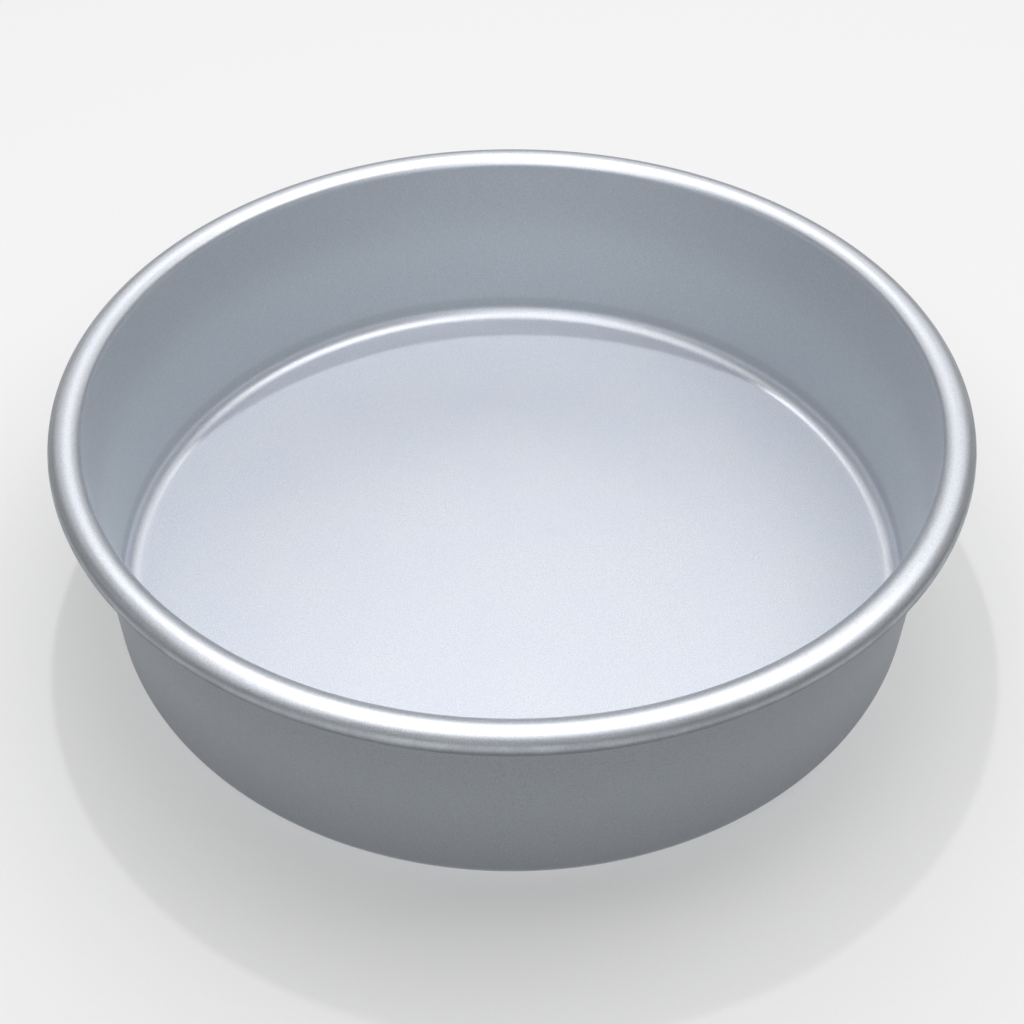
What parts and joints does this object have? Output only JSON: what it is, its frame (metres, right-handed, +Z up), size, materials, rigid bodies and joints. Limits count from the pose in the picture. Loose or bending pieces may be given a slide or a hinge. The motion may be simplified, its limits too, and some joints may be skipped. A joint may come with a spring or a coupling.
{
  "type": "round cake tin",
  "caption": "Round, straight-sided cake tin with a flat floor, a small inside fillet and an outward-rolled rim curled over a hidden wire.",
  "frame": {"origin": "centre of the underside, on the surface the tin stands on", "axes": "+Z up along the tin's axis; it is a figure of revolution, so X and Y are any two directions square to it"},
  "size_m": [0.2184, 0.2184, 0.057],
  "materials": {
    "pan_sheet": "satin anodised, fine even grain",
    "rim_wire": "drawn wire, dull zinc coat"
  },
  "bodies": {
    "root": {"pan_shell": "pan_sheet", "rim_wire": "rim_wire"}
  },
  "joints": []
}
